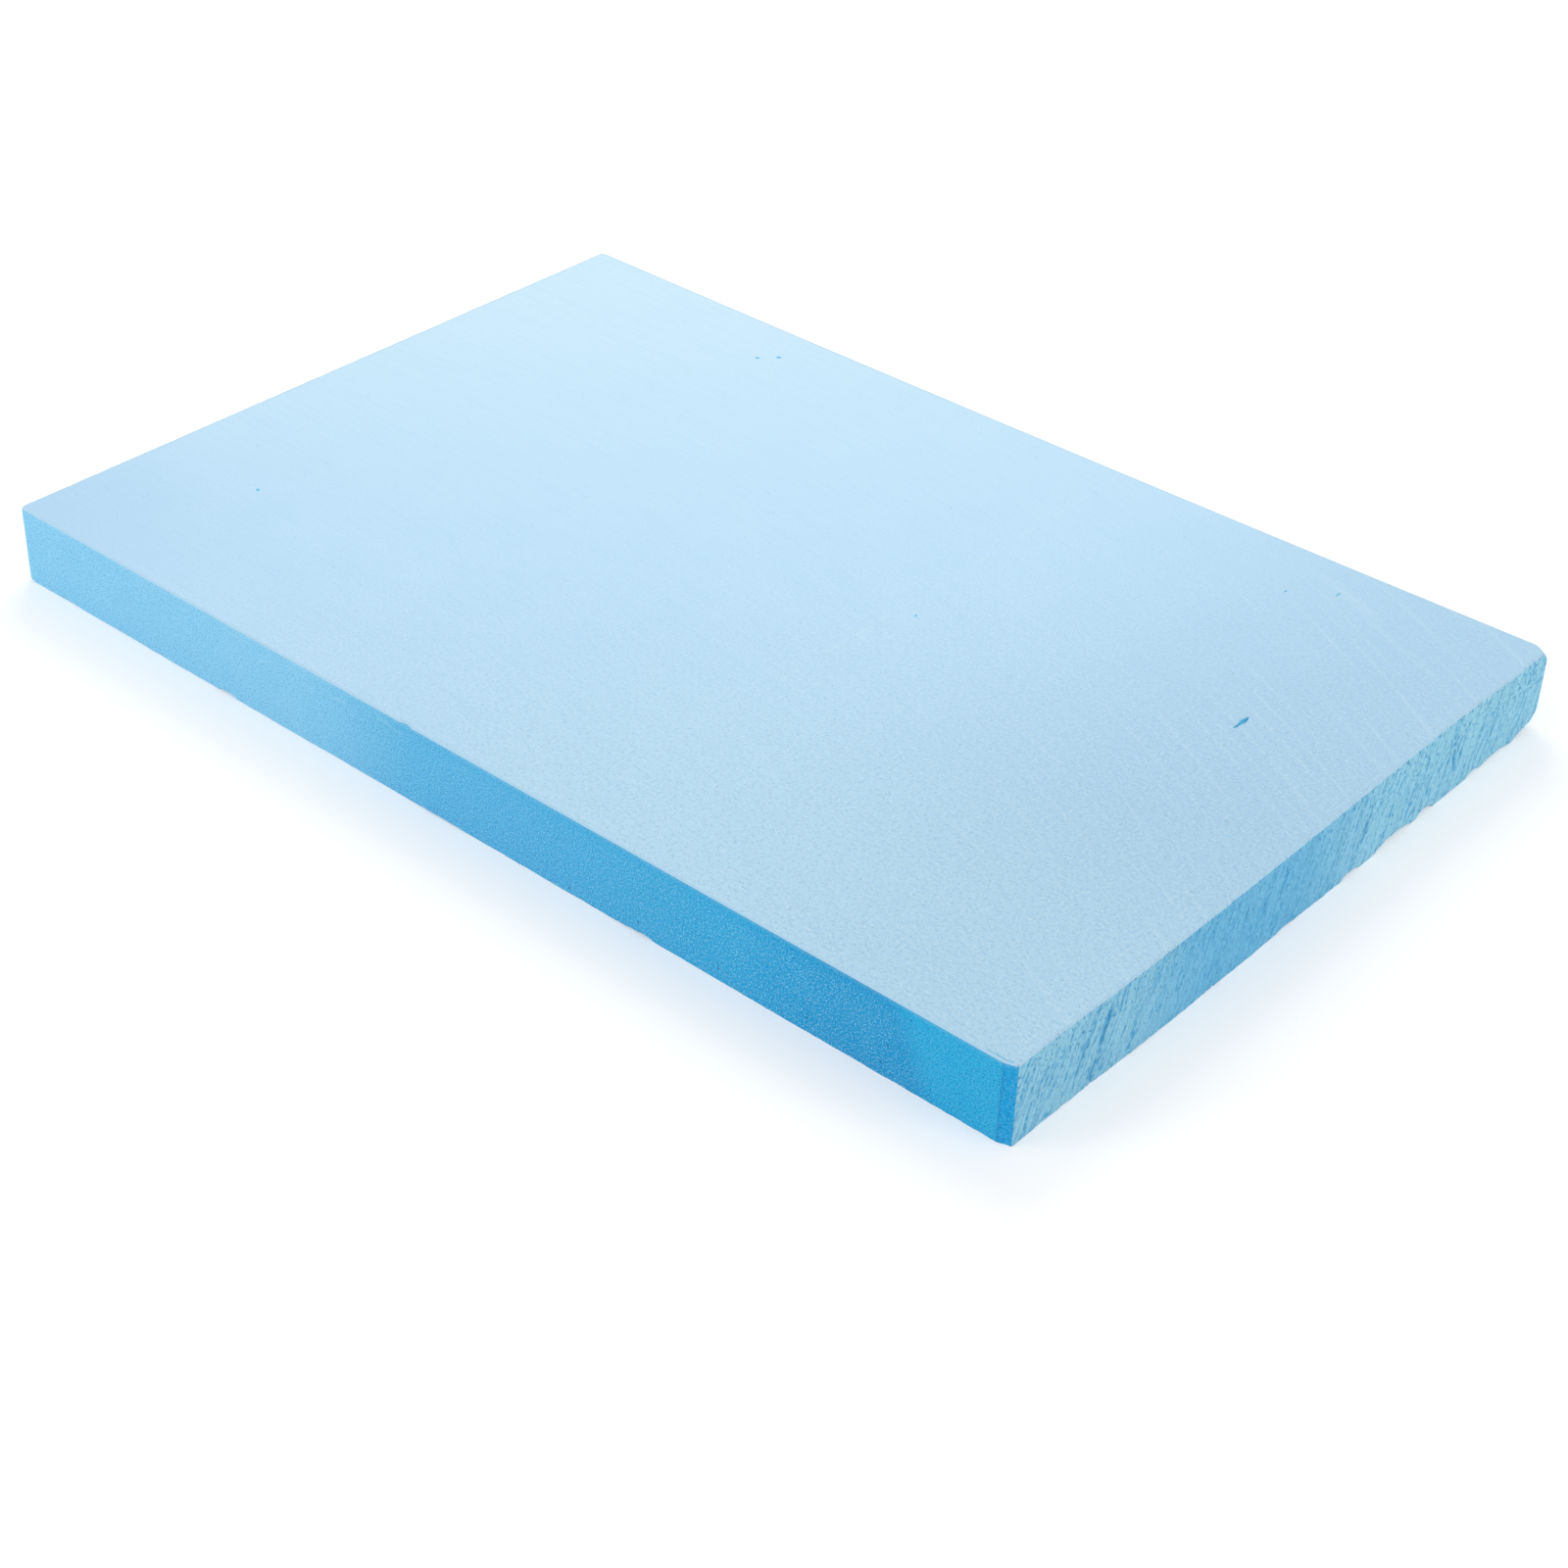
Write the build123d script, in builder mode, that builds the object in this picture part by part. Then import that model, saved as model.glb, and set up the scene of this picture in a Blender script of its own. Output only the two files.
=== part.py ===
from build123d import *
import os

# A sheet of rigid extruded foam, lying flat on its lower skin.
# X runs along the sheet, Y across it and Z up through it. The origin is the middle of the lower skin.
# The end at +X was sawn by hand: its saw line wanders, its face is torn in slanting grooves, and its
# lower edge broke away in scallops. The other faces are cut clean.
# All sizes are millimetres. A place along an edge is a share of that edge, so that marks stay on
# their face when the sheet's size changes.

# Sheet
length = 300.0
width = 200.0
thickness = 20.0
sawn_end_rounding = 0.8
plain_end_rounding = 1.7
upper_rounding = 0.5
lower_rounding = 0.35

# Back edge, bowed inwards between its corners
back_bow = 0.9
back_bow_share = 0.68

# Vertical bevel where the front corner of the sawn end was bruised
bevel_run = 3.6
bevel_depth = 1.0

# Upper back corner of the sawn end, clipped along the length, across the width and down
clip_run = 4.0
clip_depth = 2.4
clip_drop = 3.2

# Saw line: share of the width from the front edge, and how far the face lies inside the full length
saw_line = (
    (0.06, 0.65),
    (0.20, 0.12),
    (0.30, 0.0),
    (0.42, 0.12),
    (0.65, 0.60),
    (0.79, 0.85),
    (0.90, 0.50),
)

# Tear grooves: each top and foot as a share of the width and of the height, then gape and depth
tears = (
    ((0.155, 0.98), (0.130, 0.30), 1.5, 0.9),
    ((0.134, 0.36), (0.124, -0.04), 1.2, 0.7),
    ((0.122, 0.80), (0.096, 0.14), 0.9, 0.5),
    ((0.060, 0.92), (0.024, 0.08), 0.8, 0.4),
    ((0.188, 0.66), (0.163, 0.14), 0.8, 0.4),
    ((0.287, 0.82), (0.264, 0.24), 0.9, 0.5),
    ((0.326, 0.90), (0.316, 0.64), 0.8, 0.5),
    ((0.388, 0.78), (0.380, 0.55), 0.8, 0.5),
    ((0.419, 0.66), (0.415, 0.39), 1.1, 0.8),
    ((0.461, 0.86), (0.445, 0.44), 1.1, 0.7),
    ((0.486, 0.66), (0.476, 0.36), 0.8, 0.5),
    ((0.517, 0.62), (0.508, 0.35), 0.8, 0.4),
    ((0.629, 0.86), (0.606, 0.28), 1.2, 0.8),
    ((0.656, 0.72), (0.649, 0.42), 0.8, 0.4),
    ((0.702, 0.92), (0.697, 0.80), 1.1, 0.6),
    ((0.737, 0.90), (0.733, 0.78), 1.0, 0.6),
    ((0.688, 0.62), (0.684, 0.52), 1.0, 0.5),
    ((0.801, 0.66), (0.806, 0.18), 1.6, 0.7),
    ((0.822, 0.60), (0.812, 0.36), 1.0, 0.6),
    ((0.896, 0.64), (0.876, 0.24), 0.9, 0.5),
)
tear_root_share = 0.35
tear_mouth_share = 2 - tear_root_share

# Scallops broken out of the sawn end's lower edge: share of the width, half width, rise and reach
end_scallops = (
    (0.085, 4.0, 0.25, 1.2),
    (0.215, 9.0, 0.35, 1.5),
    (0.340, 6.0, 0.30, 1.4),
    (0.470, 8.0, 0.45, 1.6),
    (0.596, 4.4, 1.30, 2.8),
    (0.686, 9.0, 1.65, 3.8),
    (0.751, 4.2, 1.55, 3.4),
    (0.812, 3.0, 0.40, 1.6),
    (0.857, 3.6, 1.00, 2.4),
    (0.904, 8.2, 1.00, 2.4),
)

# Scallops in the front face's lower edge: share of the length, half width, rise and reach
front_scallops = (
    (0.246, 3.8, 0.85, 2.4),
    (0.480, 10.5, 0.35, 2.0),
)

# Ramped notch in the front face's lower edge
ramp_share = 0.643
ramp_run = 13.0
ramp_step = 1.0
ramp_rise = 0.7
ramp_reach = 2.2

# Nick in the front face's upper edge
nick_share = 0.448
nick_half_width = 2.6
nick_drop = 0.45
nick_reach = 1.2

# Lower back corner of the sawn end and lower front corner of the other end: each is crushed to a flat
# slope that turns up in an arc from its shoulder, a share of the way in from the corner
crush_run = 14.0
crush_rise = 6.8
crush_reach = 14.0
foot_run = 3.2
foot_rise = 2.2
foot_reach = 3.0
crush_fade = 0.12
crush_shoulder = 0.31

# Slits in the upper skin, drop-shaped with their tails to the front: place from the sheet's middle, as
# shares of the length and the width, then length, gape and depth
slits = (
    ((0.3827, 0.126), 7.0, 1.3, 1.1),
    ((0.3373, 0.433), 2.1, 0.7, 0.35),
    ((0.3047, 0.395), 1.9, 0.6, 0.30),
)
slit_widest = 0.64

# Pits in the upper skin: place as for the slits, then radius at the skin and depth
pits = (
    ((-0.240, 0.431), 0.65, 0.35),
    ((-0.253, 0.410), 0.60, 0.30),
    ((-0.386, -0.276), 0.55, 0.30),
    ((0.119, 0.054), 0.40, 0.25),
)

# How far a cutter stands outside the face that it cuts, and how many climbs long a round cut is
clear = 0.6
cut_throw = 3


def saw_inset(share):
    """How far the sawn face lies inside the full length, at a share of the width."""
    stations = ((0.0, saw_line[0][1]), *saw_line, (1.0, saw_line[-1][1]))
    for (start, low), (end, high) in zip(stations, stations[1:]):
        if start <= share <= end:
            return low + (high - low) * (share - start) / (end - start)
    return 0.0


def leaf(start, end, gape):
    """A slender leaf from start to end, drawn as two arcs."""
    start = Vector(*start)
    end = Vector(*end)
    middle = (start + end) / 2
    side = (end - start).normalized().rotate(Axis.Z, 90) * gape / 2
    ThreePointArc(start, middle + side, end)
    ThreePointArc(end, middle - side, start)


def drop(tail, head, gape, widest):
    """A drop from its tail to its head, widest at a share of its length."""
    tail = Vector(*tail)
    head = Vector(*head)
    belly = tail + (head - tail) * widest
    side = (head - tail).normalized().rotate(Axis.Z, 90) * gape / 2
    Spline(tail, belly + side, head)
    Spline(head, belly - side, tail)


def shorter(start, end, share):
    """The same stretch with its two ends drawn in towards its middle."""
    start = Vector(*start)
    end = Vector(*end)
    inset = (end - start) * share / 2
    return start + inset, end - inset


def crushed_corner(run, rise, run_sign):
    """What lies outside a crushed lower corner, drawn in the end's own plane."""
    flat = Vector(-run_sign * run, 0)
    upright = Vector(0, rise)
    shoulder = Vector(flat.X, rise) * crush_shoulder
    outside = Vector(run_sign * clear, -clear)
    Line((flat.X, -clear), flat)
    Line(flat, shoulder)
    TangentArc(shoulder, upright, tangent=shoulder - flat)
    Line(upright, (outside.X, rise))
    Line((outside.X, rise), outside)
    Line(outside, (flat.X, -clear))


def arc_radius(half_chord, height):
    """Radius of the arc that stands to a height over a chord."""
    return (half_chord**2 + height**2) / (2 * height)


# Foam sheet
front_left = (-length / 2, -width / 2)
back_left = (-length / 2, width / 2)
back_right = (length / 2 - saw_inset(1.0), width / 2)
bevel_start = (length / 2 - bevel_run, -width / 2)
bevel_end = (length / 2 - saw_inset(0.0), -width / 2 + bevel_depth)
saw_points = [(length / 2 - inset, (share - 0.5) * width) for share, inset in saw_line]
bow_point = ((back_bow_share - 0.5) * length, width / 2 - back_bow)
ramp_start = (ramp_share - 0.5) * length

# Round cuts along the edges: mouth, climb out of the sheet, edge direction, half width and height.
# The nick's edge direction is turned about, so that its cut falls instead of climbing.
round_cuts = []
for share, half_width, rise, reach in end_scallops:
    mouth = Vector(length / 2 - saw_inset(share), (share - 0.5) * width, rise)
    round_cuts.append((mouth, Vector(reach, 0, rise), (0, 1, 0), half_width, rise))
for share, half_width, rise, reach in front_scallops:
    mouth = Vector((share - 0.5) * length, -width / 2, rise)
    round_cuts.append((mouth, Vector(0, -reach, rise), (1, 0, 0), half_width, rise))
nick_mouth = Vector((nick_share - 0.5) * length, -width / 2, thickness - nick_drop)
nick_fall = Vector(0, -nick_reach, -nick_drop)
round_cuts.append((nick_mouth, nick_fall, (-1, 0, 0), nick_half_width, nick_drop))

with BuildPart() as foam_sheet:
    # Outline seen from above, drawn up through the thickness
    with BuildSketch():
        with BuildLine():
            Line(front_left, bevel_start)
            Line(bevel_start, bevel_end)
            Spline(bevel_end, *saw_points, back_right)
            Spline(back_right, bow_point, back_left)
            Line(back_left, front_left)
        make_face()
    extrude(amount=thickness)

    # Soft edges: the uprights of the sawn end and of the plain one, then the rims of both skins
    uprights = foam_sheet.edges().filter_by(Axis.Z)
    fillet(uprights.filter_by(lambda upright: upright.center().X > 0), radius=sawn_end_rounding)
    fillet(foam_sheet.edges().filter_by(Axis.Z).group_by(Axis.X)[0], radius=plain_end_rounding)
    fillet(foam_sheet.faces().sort_by(Axis.Z)[-1].edges(), radius=upper_rounding)
    fillet(foam_sheet.faces().sort_by(Axis.Z)[0].edges(), radius=lower_rounding)

    # Clipped upper corner, cut by a plane that slants across all three of its edges
    corner = Vector(*back_right, thickness)
    outward = Vector(1 / clip_run, 1 / clip_depth, 1 / clip_drop)
    split(bisect_by=Plane(origin=corner - Vector(clip_run, 0), z_dir=outward), keep=Keep.BOTTOM)

    # Crushed lower corners, each fading out along the sheet
    for x_face, x_sign, y_sign, run, rise, reach in (
        (length / 2, 1, 1, crush_run, crush_rise, crush_reach),
        (-length / 2, -1, -1, foot_run, foot_rise, foot_reach),
    ):
        for x, share in ((x_face + x_sign * clear, 1.0), (x_face - x_sign * reach, crush_fade)):
            end_plane = Plane(
                origin=(x, y_sign * width / 2, 0), x_dir=(0, 1, 0), z_dir=(1, 0, 0)
            )
            with BuildSketch(end_plane):
                with BuildLine():
                    crushed_corner(run * share, rise * share, y_sign)
                make_face()
        loft(mode=Mode.SUBTRACT)

    # Round cuts along the edges, each following its climb out of the sheet
    for mouth, climb, along, half_width, height in round_cuts:
        radius = arc_radius(half_width, height)
        with BuildSketch(Plane(origin=mouth + climb, x_dir=along, z_dir=climb)):
            with Locations((0, -radius)):
                Circle(radius)
        extrude(amount=-cut_throw * climb.length, mode=Mode.SUBTRACT)

    # Ramped notch in the front face's lower edge
    with BuildSketch(Plane.XZ.offset(width / 2 - ramp_reach)):
        with BuildLine():
            Polyline(
                (ramp_start, -clear),
                (ramp_start, 0),
                (ramp_start + ramp_run, ramp_rise),
                (ramp_start + ramp_run + ramp_step, 0),
                (ramp_start + ramp_run + ramp_step, -clear),
                close=True,
            )
        make_face()
    extrude(amount=ramp_reach + clear, mode=Mode.SUBTRACT)

    # Tear grooves in the sawn end, each narrowing from its mouth to its root
    for top, foot, gape, depth in tears:
        stretch = [((y_share - 0.5) * width, z_share * thickness) for y_share, z_share in (top, foot)]
        x_face = length / 2 - saw_inset((top[0] + foot[0]) / 2)
        root = shorter(*stretch, tear_root_share)
        with BuildSketch(Plane.YZ.offset(x_face + depth)):
            with BuildLine():
                leaf(*stretch, gape * tear_mouth_share)
            make_face()
        with BuildSketch(Plane.YZ.offset(x_face - depth)):
            with BuildLine():
                leaf(*root, gape * tear_root_share)
            make_face()
        loft(mode=Mode.SUBTRACT)

    # Slits in the upper skin, each narrowing to its root
    for place, slit_length, slit_gape, slit_depth in slits:
        middle = Vector(place[0] * length, place[1] * width)
        half = Vector(0, slit_length / 2)
        stretch = (middle - half, middle + half)
        with BuildSketch(Plane.XY.offset(thickness)):
            with BuildLine():
                drop(*stretch, slit_gape, slit_widest)
            make_face()
        with BuildSketch(Plane.XY.offset(thickness - slit_depth)):
            with BuildLine():
                drop(*shorter(*stretch, tear_root_share), slit_gape * tear_root_share, slit_widest)
            make_face()
        loft(mode=Mode.SUBTRACT)

    # Pits in the upper skin, each the cap of a ball
    for place, pit_radius, pit_depth in pits:
        ball = arc_radius(pit_radius, pit_depth)
        with Locations((place[0] * length, place[1] * width, thickness - pit_depth + ball)):
            Sphere(ball, mode=Mode.SUBTRACT)

foam_sheet.part.label = "foam_sheet"

os.makedirs("parts", exist_ok=True)
export_step(foam_sheet.part, "parts/foam_sheet.step")
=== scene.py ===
import math
import bpy
import numpy as np
from mathutils import Matrix, Vector
from mathutils.bvhtree import BVHTree
from mathutils.geometry import delaunay_2d_cdt
from mathutils.kdtree import KDTree

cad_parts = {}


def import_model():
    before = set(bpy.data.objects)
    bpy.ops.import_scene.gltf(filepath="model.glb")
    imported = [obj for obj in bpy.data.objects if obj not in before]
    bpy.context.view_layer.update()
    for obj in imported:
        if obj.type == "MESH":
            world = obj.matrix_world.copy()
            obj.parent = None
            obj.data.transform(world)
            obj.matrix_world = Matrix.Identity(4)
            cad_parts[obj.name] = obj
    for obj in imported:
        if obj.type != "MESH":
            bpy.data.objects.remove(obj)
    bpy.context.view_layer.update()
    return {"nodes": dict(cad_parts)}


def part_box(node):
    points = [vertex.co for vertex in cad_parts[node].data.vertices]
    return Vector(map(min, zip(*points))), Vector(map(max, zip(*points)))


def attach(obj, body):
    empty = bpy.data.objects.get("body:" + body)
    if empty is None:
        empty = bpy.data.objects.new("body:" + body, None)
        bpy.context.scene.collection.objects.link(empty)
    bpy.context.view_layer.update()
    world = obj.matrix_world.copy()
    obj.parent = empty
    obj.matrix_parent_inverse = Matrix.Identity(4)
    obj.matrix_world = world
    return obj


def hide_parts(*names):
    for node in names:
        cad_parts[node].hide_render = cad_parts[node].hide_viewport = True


# A blue sheet of rigid foam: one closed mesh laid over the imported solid, with torn grain on its sawn
# ends, fine grain on its cut long sides and smooth pale skins above and below. Lengths are in metres,
# apart from the tables that are said to be in mm.

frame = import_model()

MM = 0.001

# The sheet, from the frame
node_low, node_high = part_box("foam_sheet")
HALF_X = (node_high.x - node_low.x) / 2
HALF_Y = (node_high.y - node_low.y) / 2
THICK = node_high.z

# Level rays find the sheet's side walls from outside, each aimed at a line this far inside its faces
RAY_INSET = 16 * MM
RAY_CLEAR = 2 * MM
# Columns along the open run of the front, the sawn end, the back and the plain end, then near a corner
OPEN_COLUMNS = (360, 608, 150, 200)
CORNER_RUN = 5 * MM
CORNER_COLUMNS = 16

# Rows of the side walls, closer together near both skins
LOWER_ROWS = 8
MIDDLE_ROWS = 36
UPPER_ROWS = 7
LOWER_BAND = 1.6 * MM
UPPER_BAND = 1.0 * MM
ROW_CROWDING = 1.5
RAY_LIFT = 0.02 * MM
SKIN_RING = 0.25 * MM

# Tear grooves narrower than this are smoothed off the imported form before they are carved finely
CLOSING_COLUMNS = 3
# Relief never lifts a wall further than this out of the sheet's box
LIFT_LIMIT = 0.3 * MM

# The bevelled corner between the front side and the sawn end
BEVEL_RUN = 3.6 * MM
BEVEL_DEPTH = 1.0 * MM
BEVEL_BLEND = 0.1 * MM

# Where a sawn end begins past its corner, and where the skins' edges give way to the cut foam
SAWN_START = (-0.1 * MM, 0.5 * MM)
SKIN_FADE = (0.05 * MM, 0.40 * MM)

# Lean of the torn grain from the upright, its top towards the back
GRAIN_LEAN = math.radians(23)
# The saw wasn't held quite square, so that the face stands out this far at its foot
FOOT_LEAN = 0.45 * MM
FOOT_LEAN_START = (-5 * MM, 20 * MM)
FOOT_LEAN_END = (60 * MM, 90 * MM)

# Tears of the sawn end: top and foot as shares of the width and of the height, gape and depth in mm
TEARS = (
    ((0.155, 0.98), (0.130, 0.30), 1.5, 0.9),
    ((0.134, 0.42), (0.124, -0.04), 1.5, 0.8),
    ((0.122, 0.80), (0.096, 0.14), 0.9, 0.5),
    ((0.060, 0.92), (0.024, 0.08), 0.8, 0.4),
    ((0.188, 0.66), (0.163, 0.14), 0.8, 0.4),
    ((0.287, 0.82), (0.264, 0.24), 0.9, 0.5),
    ((0.326, 0.90), (0.316, 0.64), 0.8, 0.5),
    ((0.388, 0.78), (0.380, 0.55), 0.8, 0.5),
    ((0.419, 0.66), (0.415, 0.39), 1.1, 0.8),
    ((0.461, 0.86), (0.445, 0.44), 1.1, 0.7),
    ((0.486, 0.66), (0.476, 0.36), 0.8, 0.5),
    ((0.517, 0.62), (0.508, 0.35), 0.8, 0.4),
    ((0.629, 0.86), (0.606, 0.28), 1.2, 0.8),
    ((0.656, 0.72), (0.649, 0.42), 0.8, 0.4),
    ((0.702, 0.92), (0.697, 0.80), 1.1, 0.6),
    ((0.737, 0.90), (0.733, 0.78), 1.0, 0.6),
    ((0.688, 0.62), (0.684, 0.52), 1.0, 0.5),
    ((0.801, 0.66), (0.806, 0.18), 1.6, 0.7),
    ((0.822, 0.60), (0.812, 0.36), 1.0, 0.6),
    ((0.896, 0.64), (0.876, 0.24), 0.9, 0.5),
)
# A tear is carved twice, broad and sharp, each as a share of its gape, to this share of its depth
TEAR_GAPES = (1.5, 0.7)
TEAR_DEPTH_SHARE = 0.35
# The tears' places were read off the face, and the floor of a tear lies a little behind it
TEAR_SETBACK = 0.8

# Small tears with no place of their own: how many at each end, their reach, gape and depth in mm, their
# lean as a share of the grain's, how they crowd upwards, and how far from its top one can reach
SMALL_TEARS = 260
PLAIN_END_TEARS = 170
SMALL_TEAR_REACH = (0.8, 3.2)
SMALL_TEAR_GAPE = (0.35, 0.75)
SMALL_TEAR_DEPTH = (0.12, 0.35)
SMALL_TEAR_LEAN = (0.6, 1.3)
SMALL_TEAR_CROWDING = 1.6
SMALL_TEAR_BOX = (4 * MM, 5 * MM)

# Small tufts left along the sawn end's lower edge: place in mm from the middle, reach in mm
TUFTS = (
    (-61.0, 0.15), (-33.0, 0.12), (-9.0, 0.15), (9.0, 0.15), (20.5, 0.30), (34.4, 0.30), (38.6, 0.35),
    (43.0, 0.20), (51.3, 0.40), (73.4, 0.35), (84.2, 0.30), (89.6, 0.20),
)
TUFT_WIDTH = 0.55 * MM
TUFT_HEIGHT = 0.9 * MM

# Bands next to the skins: the sawn ends crumble above and have a burr below, and their waves shrink to a
# share of themselves towards the upper skin; the long sides fray below and are smooth above
CRUMBLE_BAND = 0.9 * MM
BURR_BAND = 1.2 * MM
STEADY_BAND = 3 * MM
STEADY_SHARE = 0.35
FRAYED_BAND = 0.9 * MM
SMOOTH_BAND = 1.0 * MM

# Drop-shaped slits in the upper skin, their tails to the front: place as shares of the length and the
# width from the sheet's middle, then length, gape and depth in mm
SLITS = (
    ((0.3827, 0.126), 7.0, 1.3, 1.1),
    ((0.3373, 0.433), 2.1, 0.7, 0.35),
    ((0.3047, 0.395), 1.9, 0.6, 0.30),
)
SLIT_WIDEST = 0.64
# Loose foam in a slit hides its bottom, so that only this share of its depth is seen
SLIT_FLOOR = 0.6
# Pits in the upper skin: place, then radius and depth in mm
PITS = (
    ((-0.240, 0.431), 0.65, 0.35),
    ((-0.253, 0.410), 0.60, 0.30),
    ((-0.386, -0.276), 0.55, 0.30),
    ((0.119, 0.054), 0.40, 0.25),
)
PIT_OPENED = 0.7

# Lifted lip of the upper skin beside the bevelled corner: from and to along X, then how far inside the
# edge its crease and its crest lie and how wide they are
LIP_RUN = (140.5 * MM, 149.6 * MM)
LIP_CREASE = (0.95 * MM, 0.20 * MM)
LIP_CREST = (1.45 * MM, 0.30 * MM)
# The crease's depth and the crest's height in mm, and the reach of the close points round the lip
LIP_DEPTH = 0.16
LIP_HEIGHT = 0.10
LIP_BOX = (5.2 * MM, 1.4 * MM)

# Spacing of the skins' points: near the rim, in the open and round the marks
RIM_BAND = 3.4 * MM
RIM_SPACING = 1.1 * MM
RIM_CLEAR = 0.7 * MM
RIM_WANDER = 4 * MM
UPPER_SPACING = 3.0 * MM
LOWER_SPACING = 6.0 * MM
MARK_SPACING = 0.25 * MM
MARK_CLEAR = 0.2 * MM
MERGE_DISTANCE = 1e-7

# Places of the materials on the sheet's mesh
SKIN_SLOT, SIDE_SLOT, SAWN_SLOT = range(3)

# Fine marks on the front side, in mm along and up: pin holes, then scratches from end to end
PIN_HOLES = ((33.4, 1.7), (53.2, 3.1), (75.4, 3.3), (99.0, 3.8), (117.9, 3.5), (119.3, 8.3), (124.5, 17.5))
PIN_HOLE_RADIUS = 0.38 * MM
SIDE_SCRATCHES = (
    ((-25.8, 18.6), (-20.4, 17.9)),
    ((-24.2, 17.6), (-17.0, 16.9)),
    ((-64.5, 14.0), (-60.0, 16.5)),
    ((-38.8, 16.2), (-34.3, 17.0)),
    ((-76.0, 18.3), (-66.0, 18.0)),
)
SIDE_SCRATCH_WIDTH = 0.22 * MM
# Hairlines on the upper skin, in mm from the middle, and a faint seam across it
SKIN_SCRATCHES = (
    ((-88.7, -56.3), (-72.0, -53.0)),
    ((-20.8, -65.0), (-19.2, -69.7)),
    ((-74.5, -88.5), (-69.0, -93.5)),
)
SKIN_SCRATCH_WIDTH = 0.2 * MM
SEAM_PLACE = 31 * MM
SEAM_EDGE = (0.1 * MM, 0.6 * MM)

# Camera, solved from the sheet's corners in the photograph
CAMERA_PLACE = (0.38103, -0.44722, 0.37452)
CAMERA_AZIMUTH = 39.888
CAMERA_ELEVATION = 35.123
CAMERA_ROLL = 2.128
CAMERA_LENS = 67.45
CAMERA_SENSOR = 36.0
CAMERA_CLIP = (0.01, 20.0)

# Stage: the floor's half side, its shade and glow, and how its glow grows far from the lamps
FLOOR_REACH = 6.0
FLOOR_SHADE = 0.86
FLOOR_GLOW = 0.30
FAR_FLOOR = (0.7, 1.2)
FAR_GLOW = 0.4
SURROUND_LIGHT = 0.62
WHITE = (1.0, 1.0, 1.0, 1.0)
# Soft lamps: name, place, the point that each faces, size and power in watts
LAMPS = (
    ("key", (-0.55, 0.65, 0.80), (-0.05, 0.02, 0), 0.6, 3.7),
    ("front_fill", (-0.55, -0.95, 0.24), (-0.02, -0.10, 0.01), 0.5, 4.2),
    ("end_fill", (1.05, 0.15, 0.35), (0.15, 0.0, 0.01), 0.6, 3.0),
)

random = np.random.default_rng(7)


# Smooth noise

def hashed(cells, seed):
    """A number from -1 to 1 for each whole-numbered cell, the same on each run."""
    mixed = np.full(cells.shape[:-1], seed * 7919 + 17, np.uint64)
    for axis, prime in enumerate((73856093, 19349663)):
        mixed ^= (cells[..., axis].astype(np.int64) * prime).astype(np.uint64)
    mixed ^= mixed >> np.uint64(13)
    mixed *= np.uint64(0x5BD1E9955BD1E995)
    mixed ^= mixed >> np.uint64(31)
    return (mixed & np.uint64(0xFFFFFF)).astype(float) / 0x7FFFFF - 1.0


def noise(first, second, seed):
    """Smooth noise from -1 to 1 over two coordinates, one unit to a cell."""
    place = np.stack(np.broadcast_arrays(first, second), axis=-1)
    cell = np.floor(place)
    part = place - cell
    blend = part * part * (3 - 2 * part)
    total = 0.0
    for corner in ((0, 0), (1, 0), (0, 1), (1, 1)):
        weight = 1.0
        for axis, side in enumerate(corner):
            weight = weight * (blend[..., axis] if side else 1 - blend[..., axis])
        total = total + weight * hashed(cell + corner, seed)
    return total


def waves(first, second, height, first_run, second_run, seed):
    """Smooth waves of a height over two coordinates, with one cell's run along each in mm."""
    return height * noise(first / (first_run * MM), second / (second_run * MM), seed)


def smooth_step(low, high, value):
    """0 below low, 1 above high and a smooth rise between."""
    share = np.clip((value - low) / (high - low), 0, 1)
    return share * share * (3 - 2 * share)


def hump(value, middle, width):
    """1 at the middle, falling off smoothly to both sides."""
    return np.exp(-(((value - middle) / width) ** 2))


# Side walls

def wall_rays():
    """Inner point and outward way of each column, and how far along an end it is from a corner."""
    corners = np.array([(-HALF_X, -HALF_Y), (HALF_X, -HALF_Y), (HALF_X, HALF_Y), (-HALF_X, HALF_Y)])
    targets, past = [], []
    for number, count in enumerate(OPEN_COLUMNS):
        first, last = corners[number], corners[(number + 1) % 4]
        side = np.linalg.norm(last - first)
        close = np.linspace(0, CORNER_RUN, CORNER_COLUMNS, endpoint=False)
        wide = np.linspace(CORNER_RUN, side - CORNER_RUN, count)
        along = np.concatenate([close, wide, side - close[:0:-1]])
        targets.append(first + (last - first) * (along / side)[:, None])
        from_corner = np.minimum(along, side - along)
        past.append(from_corner if number % 2 else -from_corner)
    targets = np.concatenate(targets)
    inner = np.array([HALF_X, HALF_Y]) - RAY_INSET
    starts = np.clip(targets, -inner, inner)
    ways = targets - starts
    return starts, ways / np.linalg.norm(ways, axis=1)[:, None], np.concatenate(past)


def wall_heights():
    """Heights of the rows, from the lower skin to the upper one."""
    lower = LOWER_BAND * np.linspace(0, 1, LOWER_ROWS, endpoint=False) ** ROW_CROWDING
    middle = np.linspace(LOWER_BAND, THICK - UPPER_BAND, MIDDLE_ROWS, endpoint=False)
    upper = THICK - UPPER_BAND * np.linspace(1, 0, UPPER_ROWS) ** ROW_CROWDING
    return np.concatenate([lower, middle, upper])


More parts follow.
